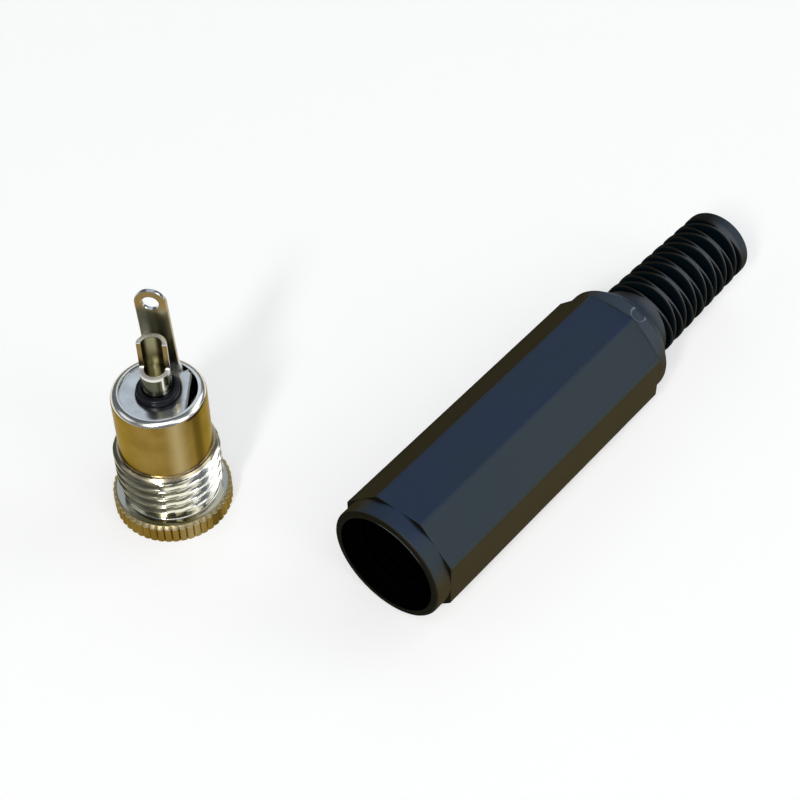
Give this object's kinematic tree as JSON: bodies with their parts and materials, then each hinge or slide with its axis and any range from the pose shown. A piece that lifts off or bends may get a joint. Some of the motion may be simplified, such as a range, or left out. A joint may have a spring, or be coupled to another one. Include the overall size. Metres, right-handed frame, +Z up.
{
  "type": "dc power socket",
  "caption": "In-line dc power socket: knurled metal barrel with centre pin, solder lug and solder cup, and its screw-on eight-sided plastic handle with a slotted strain relief, laid apart.",
  "frame": {"origin": "on the socket's axis at the front face of its flange, which stands on the ground", "axes": "+Z up along the socket's axis from its plug entry to its terminals, +Y along the handle from its mouth to its tail, +X from the socket to the handle"},
  "size_m": [0.032, 0.0562, 0.0225],
  "materials": {
    "barrel": "nickel-plated, turned and polished",
    "ground_contact": "nickel-plated sheet",
    "insulator": "smooth black",
    "centre_pin": "nickel-plated, turned",
    "handle": "satin black, moulded"
  },
  "bodies": {
    "root": {"barrel": "barrel", "ground_contact": "ground_contact", "insulator": "insulator", "centre_pin": "centre_pin", "handle": "handle"}
  },
  "joints": []
}
